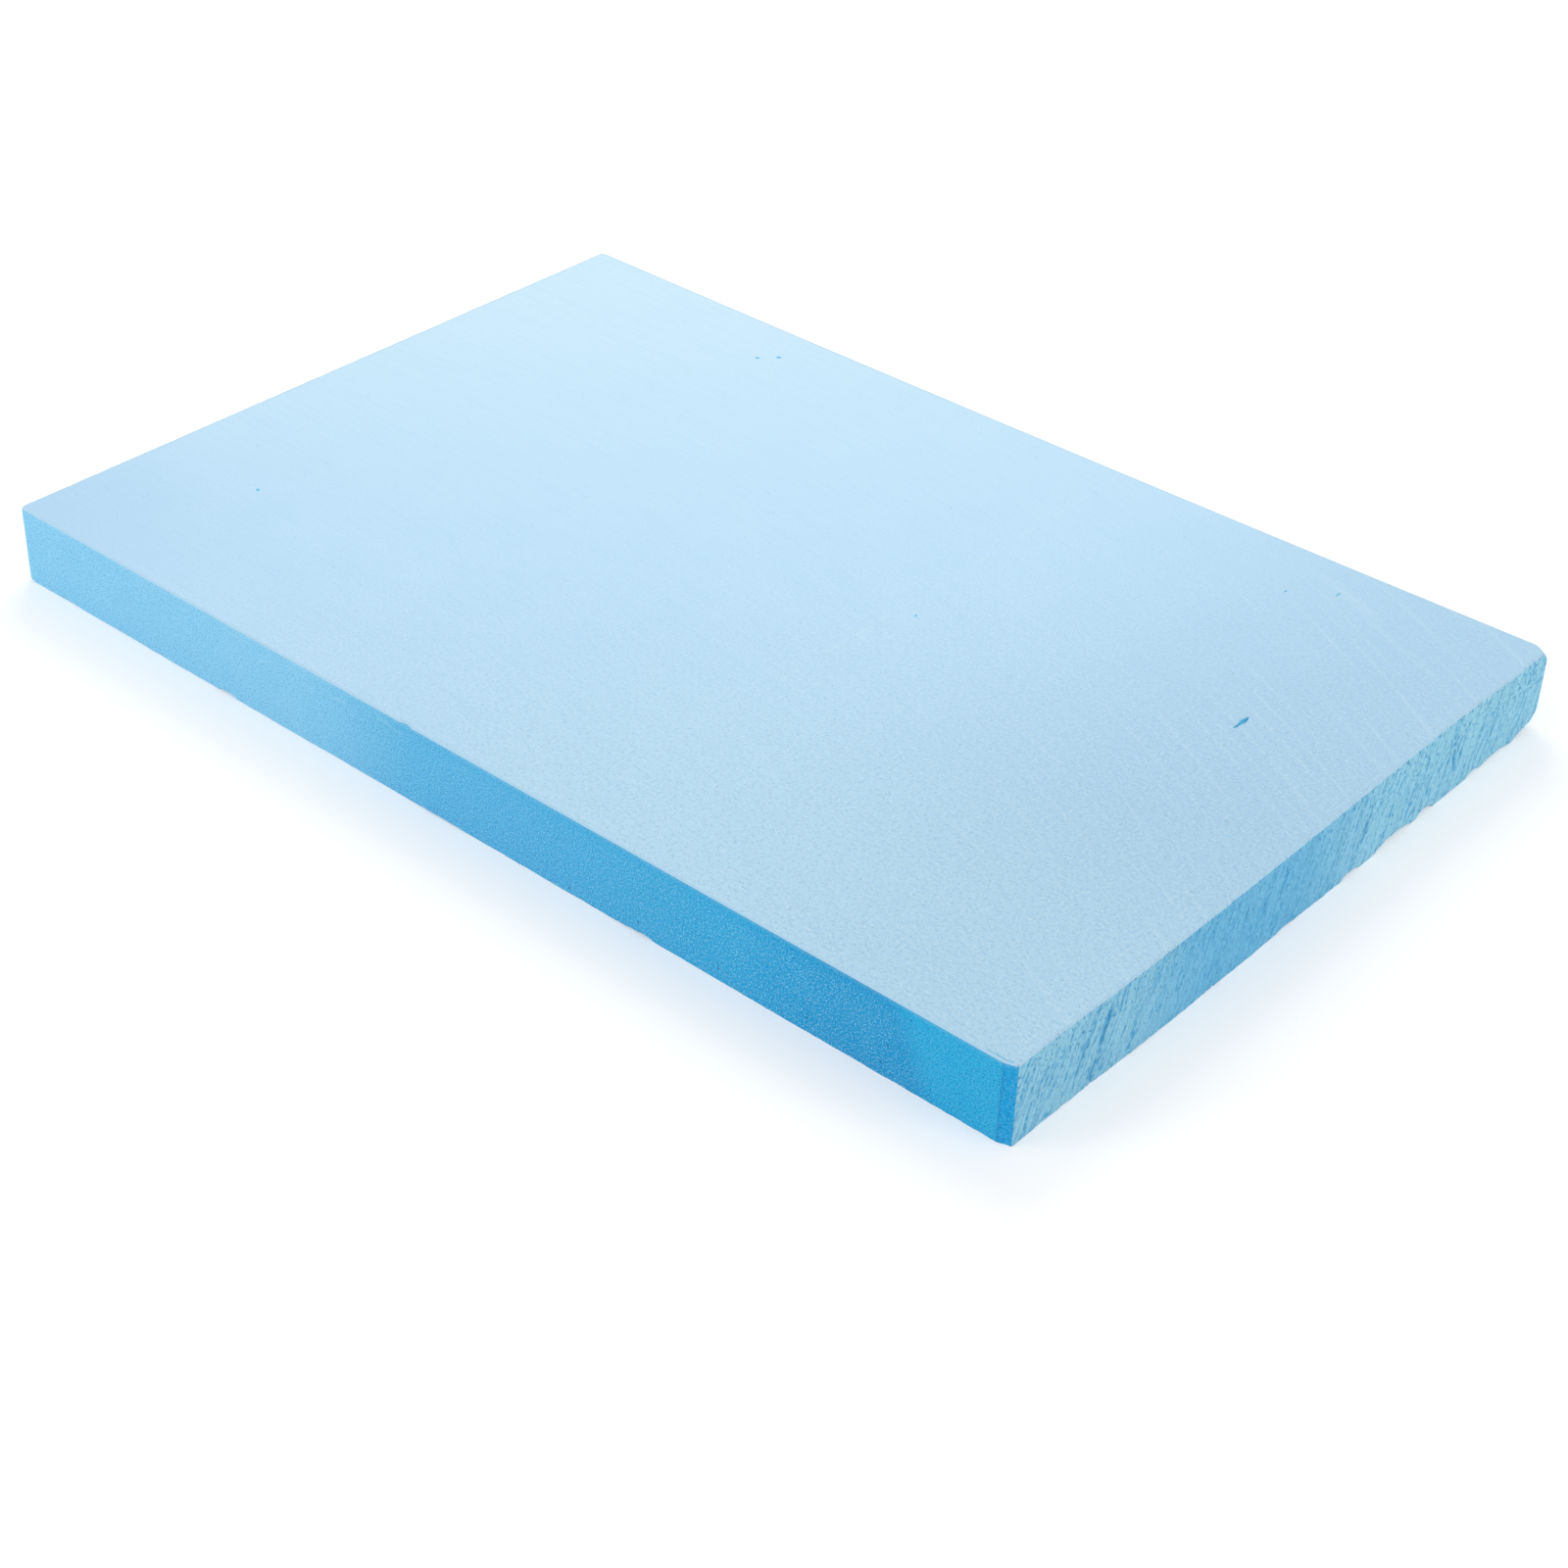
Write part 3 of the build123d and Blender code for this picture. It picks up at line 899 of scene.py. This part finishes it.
def skin_look(n, x, y):
    """Colour and fine relief, in mm, of the pale skins."""
    place = n.vector(x, y)
    from_left = n.plus(x, HALF_X)
    flow = n.plus(y, n.times(from_left, from_left, from_left, FLOW_FAN))
    ridges = skin_ridges(n, x, flow)
    streaks = n.ramp(n.stretched(x, flow, (40, 650), detail=2.0), 0.45, 0.65)
    # The skin is smooth at the far left and gets more wrinkled towards the front of the sawn end
    rough = n.ramp(n.minus(x, y), -60 * MM, 170 * MM)
    wrinkled = n.plus(n.times(rough, 0.82), 0.18)
    wrinkles = n.stretched(x, y, (1250, 1350), detail=2.0, roughness=0.7)
    specks = n.cells(x, y, (105, 105), share=0.32, radius=0.03)

    # Painted light and shade: paler towards the back-left and front-right, darker towards the front-left
    # corner and the right end
    lit_back_left = n.ramp(n.minus(y, x), 0.0, 250 * MM)
    shaded_front_left = n.times(n.ramp(x, -80 * MM, -HALF_X), n.ramp(y, -40 * MM, -HALF_Y))
    right = n.ramp(x, 40 * MM, 130 * MM)
    lit_front_right = n.times(n.ramp(y, -10 * MM, -80 * MM), n.ramp(x, -30 * MM, 50 * MM))
    base = n.mix(n.noise(place, 45.0, 2.0, 0.6), SKIN_DULL, SKIN_BRIGHT)
    base = n.over(base, SKIN_LIT_BACK_LEFT, lit_back_left)
    base = n.over(base, SKIN_SHADED_FRONT_LEFT, shaded_front_left, 0.5)
    base = n.over(base, SKIN_SHADED_RIGHT, right, 0.66)
    base = n.over(base, SKIN_LIT_FRONT_RIGHT, lit_front_right, 0.34)
    base = n.over(base, SKIN_RIDGE, ridges, 0.29)
    base = n.over(base, SKIN_STREAK, streaks, 0.08)
    # Painted shade in the wrinkles' hollows and a painted highlight on their raised parts, as the bump
    # sinks and raises them
    base = n.over(base, SKIN_HOLLOW_SHADE, n.ramp(wrinkles, 0.52, 0.66), wrinkled, 0.44)
    base = n.over(base, SKIN_RAISED_HIGHLIGHT, n.ramp(wrinkles, 0.46, 0.34), wrinkled, 0.46)
    base = n.over(base, SKIN_SPECK, specks, 0.5)
    seam = n.ramp(n.size(n.plus(x, -SEAM_PLACE)), *SEAM_EDGE, 1.0, 0.0)
    seam = n.times(seam, n.ramp(n.noise(place, 130.0), 0.45, 0.6))
    scratches = n.hairlines(place, SKIN_SCRATCHES, SKIN_SCRATCH_WIDTH)
    base = n.over(base, SKIN_LINE, n.plus(n.times(seam, 0.22), n.times(scratches, 0.35)))

    height = n.plus(n.times(ridges, 0.05), n.times(wrinkles, wrinkled, -0.50), n.times(specks, -0.06))
    return base, height


# The fine-cut sides: painted shade that deepens them from the pale left to the deep right, a band of
# painted shade, painted light past it, the bevel with a painted shade line at its crease, then what lies on
# them and a painted highlight along the upper edge
SIDE_PALE_LIT = colour(142, 207, 239)
SIDE_DEEP_SHADED = colour(8, 169, 222)
SIDE_SHADE_BAND = colour(0, 146, 206)
SIDE_LIT_PAST_SHADE = colour(50, 192, 236)
SIDE_BEVEL = colour(0, 168, 230)
SIDE_CREASE_SHADE = colour(6, 128, 190)
SIDE_CLOUD = colour(96, 190, 234)
SIDE_DUST = colour(156, 216, 242)
SIDE_GRAIN = colour(0, 136, 200)
SIDE_UPPER_EDGE_HIGHLIGHT = colour(176, 226, 244)
SIDE_HOLE = colour(20, 100, 168)
SIDE_SCRATCH = colour(196, 232, 248)
# The painted shade band's end leans by this share of the way down from the upper skin
SHADE_BAND_LEAN = 0.45
DUST_SHIFT = (1.3, 0.7, 0.2)


def side_tones(n, x, side_shade, past_band):
    """The sides' colour without grain: painted shade deepening from the pale left, a band of painted shade,
    painted light past it, and the bevelled corner with a painted shade line at its crease.
    """
    band = n.times(n.ramp(x, 75 * MM, 112 * MM), n.minus(1.0, past_band))
    from_bevel = n.plus(x, BEVEL_RUN - HALF_X)
    # Painted shade: a dark line along the crease where the bevel starts
    crease = n.ramp(n.size(from_bevel), 0.05 * MM, 0.45 * MM, 0.55, 0.0)
    # Painted shade that deepens from the pale left towards the right
    base = n.mix(side_shade, SIDE_PALE_LIT, SIDE_DEEP_SHADED)
    # A band of painted shade, then painted light past its end
    base = n.over(base, SIDE_SHADE_BAND, band, 0.65)
    base = n.over(base, SIDE_LIT_PAST_SHADE, past_band, 0.4)
    base = n.over(base, SIDE_BEVEL, n.ramp(from_bevel, -0.4 * MM, 0.4 * MM, 0.0, 0.95))
    return n.over(base, SIDE_CREASE_SHADE, crease)


def side_look(n, x, z, place):
    """Colour and fine relief, in mm, of the fine-cut long sides."""
    # A band of painted shade ends in a curve a little before the bevelled corner, and past it painted light
    # makes the side brighter; painted shade also deepens the side from the left to the right
    side_shade = n.plus(n.ramp(x, -54 * MM, -6 * MM, 0.0, 0.6), n.ramp(x, -30 * MM, 110 * MM, 0.0, 0.4))
    curve = n.plus(x, n.times(n.minus(THICK, z), -SHADE_BAND_LEAN))
    base = side_tones(n, x, side_shade, n.ramp(curve, 117 * MM, 126 * MM))
    clouds = n.noise(place, 120.0, 2.0, 0.55)
    base = n.over(base, SIDE_CLOUD, n.ramp(clouds, 0.35, 0.70, 0.0, 0.12))
    grain = n.noise(place, 2500.0, 1.0, 0.6)
    dust = n.noise(n.vector_math("ADD", place, DUST_SHIFT).outputs[0], 2300.0, 2.0, 0.75)
    # Pale dust thins out next to the upper edge and near the sawn end
    below_edge = n.ramp(z, THICK - 0.5 * MM, THICK - 3.5 * MM, 0.45, 1.0)
    before_band_end = n.ramp(curve, 112 * MM, 126 * MM, 1.0, 0.40)
    dusty = n.times(below_edge, before_band_end)
    stronger = n.plus(n.times(side_shade, 0.40), 0.60)
    base = n.over(base, SIDE_DUST, n.ramp(dust, 0.48, 0.63), dusty, stronger, 0.62)
    base = n.over(base, SIDE_GRAIN, n.ramp(grain, 0.48, 0.66), stronger, 0.80)
    # Painted highlight along the upper edge
    base = n.over(base, SIDE_UPPER_EDGE_HIGHLIGHT, n.ramp(z, THICK - 1.3 * MM, THICK - 0.3 * MM, 0.0, 0.12))
    side = n.vector(x, z)
    holes = n.most(n.dot(side, in_metres(centre), PIN_HOLE_RADIUS) for centre in PIN_HOLES)
    pricks = n.cells(x, z, (190, 230), share=0.16, radius=0.055)
    holes = n.math("MAXIMUM", holes, pricks)
    base = n.over(base, SIDE_HOLE, holes, 0.75)
    scratches = n.hairlines(side, SIDE_SCRATCHES, SIDE_SCRATCH_WIDTH)
    base = n.over(base, SIDE_SCRATCH, scratches, 0.28)

    height = n.plus(
        n.times(grain, -0.07), n.times(dust, 0.05), n.times(holes, -0.12), n.times(scratches, 0.03)
    )
    return base, height


# The sawn ends: their front and back halves, their middle painted bluer and darker as shade and blue
# bounced light, then what lies on them
END_FRONT = colour(146, 204, 228)
END_BACK = colour(154, 212, 234)
END_SHADED_MIDDLE = colour(106, 186, 226)
END_FIBRE = colour(84, 172, 214)
END_CRUMB = colour(188, 226, 240)
END_LINE = colour(42, 152, 206)
END_SPECK = colour(34, 146, 204)
END_TORN = colour(44, 150, 206)
END_TORN_DEPTH = (0.05, 0.48)
# The streaks wander by this much, and run on across the end's depth by this share of it
STREAK_WANDER = 2.0 * MM
STREAK_DEPTH_RUN = 0.3


def end_look(n, x, y, z, place):
    """Colour and fine relief, in mm, of the sawn ends: streaks and specks that lean with the grain."""
    cos, sin = math.cos(GRAIN_LEAN), math.sin(GRAIN_LEAN)
    along = n.plus(n.times(z, cos), n.times(y, sin))
    across = n.plus(n.times(y, cos), n.times(z, -sin), n.times(x, STREAK_DEPTH_RUN))
    across = n.plus(across, n.times(n.noise(place, 160.0, 1.0), STREAK_WANDER))
    crumbs = n.noise(place, 2500.0, 2.0, 0.6)
    fibres = n.stretched(across, along, (2300, 800), pattern=5.0, detail=2.0, roughness=0.6)
    broken = n.ramp(n.stretched(across, along, (900, 650), pattern=9.0), 0.42, 0.58)
    fine_lines = n.thread(n.stretched(across, along, (620, 40)), 0.05)
    wide_lines = n.thread(n.stretched(across, along, (230, 30), pattern=3.0), 0.016)
    lines = n.times(n.math("MAXIMUM", fine_lines, wide_lines), n.plus(n.times(broken, 0.7), 0.3))
    specks = n.ramp(n.stretched(across, along, (1700, 900), pattern=7.0), 0.58, 0.68)
    specks = n.times(specks, n.ramp(z, 0.3 * THICK, 0.95 * THICK, 0.5, 1.0))
    # The middle of the sawn end is painted bluer and darker, as shade and blue bounced light, and its marks
    # are fainter there
    shaded_middle = n.times(n.ramp(y, -68 * MM, -35 * MM), n.ramp(y, -8 * MM, 32 * MM, 1.0, 0.0))
    marks_strength = n.minus(1.0, n.times(shaded_middle, 0.25))
    base = n.mix(n.ramp(y, 0.0, 30 * MM), END_FRONT, END_BACK)
    base = n.over(base, END_SHADED_MIDDLE, shaded_middle, 0.9)
    base = n.over(base, END_FIBRE, n.ramp(fibres, 0.46, 0.66), 0.30)
    base = n.over(base, END_CRUMB, n.ramp(crumbs, 0.50, 0.66), marks_strength, 0.42)
    base = n.over(base, END_LINE, lines, marks_strength, 0.72)
    base = n.over(base, END_SPECK, specks, marks_strength, 0.75)

    height = n.plus(n.times(lines, -0.10), n.times(specks, -0.10), n.times(crumbs, 0.10))
    return base, height


def foam_shader(n, base, height, roughness):
    """Finishes a foam material from its colour and its fine relief."""
    shader = n.make("ShaderNodeBsdfPrincipled", {"Base Color": base, "Normal": n.bump(height, MM)})
    shader.inputs["Roughness"].default_value = roughness
    shader.inputs["IOR"].default_value = FOAM_IOR
    n.make("ShaderNodeOutputMaterial", {"Surface": shader.outputs[0]})
    return n.owner


def skin_material():
    """The pale skins, with deeper foam inside their slits and pits."""
    n = Nodes(bpy.data.materials.new("foam_skin"))
    x, y = n.places()[1:3]
    base, height = skin_look(n, x, y)
    base = n.over(base, SKIN_OPENED, n.ramp(n.mark("torn"), *SKIN_OPENED_DEPTH, 0.0, 0.9))
    return foam_shader(n, base, height, SKIN_ROUGHNESS)


def side_material():
    """The fine-cut long sides, up to the skins' own edge."""
    n = Nodes(bpy.data.materials.new("foam_cut_side"))
    place, x, _, z = n.places()
    base, height = side_look(n, x, z, place)
    base = n.mix(n.ramp(n.mark("skin"), *SKIN_EDGE_SHARE), base, SKIN_EDGE)
    return foam_shader(n, base, height, CUT_ROUGHNESS)


def end_material():
    """The sawn ends, with deeper foam in their tears and a frayed edge of skin."""
    n = Nodes(bpy.data.materials.new("foam_sawn_end"))
    place, x, y, z = n.places()
    base, height = end_look(n, x, y, z, place)
    base = n.over(base, END_TORN, n.ramp(n.mark("torn"), *END_TORN_DEPTH, 0.0, 0.75))
    fringe = n.times(n.plus(n.noise(place, 1300.0, 2.0, 0.6), -0.5), 0.9)
    base = n.mix(n.ramp(n.plus(n.mark("skin"), fringe), *SKIN_EDGE_SHARE), base, SKIN_EDGE)
    return foam_shader(n, base, height, CUT_ROUGHNESS)


# Stage

def add(name, data):
    """A new object in the scene."""
    thing = bpy.data.objects.new(name, data)
    bpy.context.scene.collection.objects.link(thing)
    return thing


def camera():
    """The photograph's camera."""
    azimuth, elevation, roll = (math.radians(a) for a in (CAMERA_AZIMUTH, CAMERA_ELEVATION, CAMERA_ROLL))
    back = Vector((
        math.sin(azimuth) * math.cos(elevation),
        -math.cos(azimuth) * math.cos(elevation),
        math.sin(elevation),
    ))
    level = (-back).cross(Vector((0, 0, 1))).normalized()
    upright = level.cross(-back)
    right = math.cos(roll) * level + math.sin(roll) * upright
    up = math.cos(roll) * upright - math.sin(roll) * level
    lens = bpy.data.cameras.new("camera")
    lens.lens = CAMERA_LENS
    lens.sensor_width = CAMERA_SENSOR
    lens.clip_start, lens.clip_end = CAMERA_CLIP
    eye = add("camera", lens)
    turn = Matrix((right, up, back)).transposed().to_4x4()
    eye.matrix_world = Matrix.Translation(CAMERA_PLACE) @ turn
    bpy.context.scene.camera = eye


def floor():
    """A wide pale floor that shows white to the camera where it is lit and keeps the shadow."""
    mesh = bpy.data.meshes.new("floor")
    corners = [(x * FLOOR_REACH, y * FLOOR_REACH, 0) for x, y in ((-1, -1), (1, -1), (1, 1), (-1, 1))]
    mesh.from_pydata(corners, [], [(0, 1, 2, 3)])
    n = Nodes(bpy.data.materials.new("pale_floor"))
    # Far out, past the lamps' light, the floor would look greyer without a little more glow
    far = n.ramp(n.distance(n.places()[0], (0.0, 0.0, 0.0)), *FAR_FLOOR, 0.0, FAR_GLOW)
    to_camera = n.make("ShaderNodeLightPath").outputs["Is Camera Ray"]
    strength = n.plus(n.times(far, to_camera), FLOOR_GLOW)
    matt = n.make("ShaderNodeBsdfDiffuse", {"Color": (FLOOR_SHADE, FLOOR_SHADE, FLOOR_SHADE, 1.0)})
    glow = n.make("ShaderNodeEmission", {"Color": WHITE, "Strength": strength})
    both = n.make("ShaderNodeAddShader", {0: matt.outputs[0], 1: glow.outputs[0]})
    chosen = n.make("ShaderNodeMixShader", {0: n.seen_rays(), 1: matt.outputs[0], 2: both.outputs[0]})
    n.make("ShaderNodeOutputMaterial", {"Surface": chosen.outputs[0]})
    mesh.materials.append(n.owner)
    plane = add("floor", mesh)


def lamp(name, place, target, size, watts):
    """A soft square lamp that faces a point."""
    light = bpy.data.lights.new(name, "AREA")
    light.shape = "SQUARE"
    light.size = size
    light.energy = watts
    way = Vector(target) - Vector(place)
    turn = way.to_track_quat("-Z", "Y").to_matrix().to_4x4()
    add(name, light).matrix_world = Matrix.Translation(place) @ turn


def world():
    """A white surround: full white to the camera and in reflections, softer as a light."""
    n = Nodes(bpy.data.worlds.new("surround"))
    bpy.context.scene.world = n.owner
    level = n.make("ShaderNodeMapRange", {"Value": n.seen_rays(), "To Min": SURROUND_LIGHT, "To Max": 1.0})
    back = n.make("ShaderNodeBackground", {"Color": WHITE, "Strength": level.outputs[0]})
    n.make("ShaderNodeOutputWorld", {"Surface": back.outputs[0]})


# The sheet
sheet = add("foam_sheet_detailed", sheet_mesh(frame["nodes"]["foam_sheet"]))
for material in (skin_material(), side_material(), end_material()):
    sheet.data.materials.append(material)
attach(sheet, "root")
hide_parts("foam_sheet")

# The stage
bpy.context.scene.view_settings.view_transform = "Standard"
floor()
world()
for row in LAMPS:
    lamp(*row)
camera()
